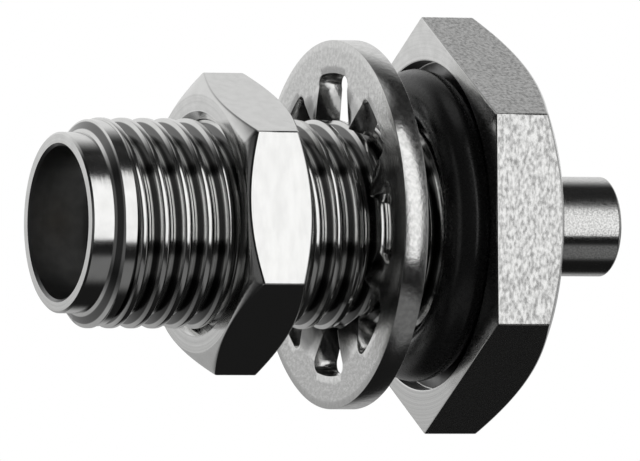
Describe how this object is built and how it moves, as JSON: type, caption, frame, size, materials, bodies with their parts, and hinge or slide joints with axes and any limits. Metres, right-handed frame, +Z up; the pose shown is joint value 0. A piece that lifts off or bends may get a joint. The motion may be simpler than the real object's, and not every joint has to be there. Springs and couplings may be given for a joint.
{
  "type": "sma connector",
  "caption": "Threaded coaxial bulkhead jack with a hex flange, panel nut, toothed lock washer, face seal, insulated socket contact and rear cable ferrule.",
  "frame": {"origin": "centre of the flange face that seats against the panel, on the connector's axis", "axes": "+X along the axis towards the cable end, -X out of the mouth; +Z up, one degree from the flange's top corner; +Y to the side, right-handed"},
  "size_m": [0.018, 0.0112, 0.0126],
  "materials": {
    "plated_steel": "bright turned, passivated",
    "washer_steel": "satin, stamped",
    "seal_rubber": "glossy moulded",
    "insulator": "machined, matt",
    "contact_gold": "gold plated, bright",
    "ferrule_steel": "fine matt speckle"
  },
  "bodies": {
    "shell": {"body": "plated_steel", "o_ring": "seal_rubber", "front_insulator": "insulator", "rear_insulator": "insulator", "centre_contact": "contact_gold", "cable_ferrule": "ferrule_steel"},
    "nut": {"hex_nut": "plated_steel"},
    "washer": {"lock_washer": "washer_steel"}
  },
  "joints": [
    {"name": "nut_travel", "type": "slide", "parent": "shell", "child": "nut", "axis": [-1, 0, 0], "range_m": [-0.00212, 0.00776]},
    {"name": "washer_travel", "type": "slide", "parent": "shell", "child": "washer", "axis": [-1, 0, 0], "range_m": [-0.0011, 0]}
  ]
}
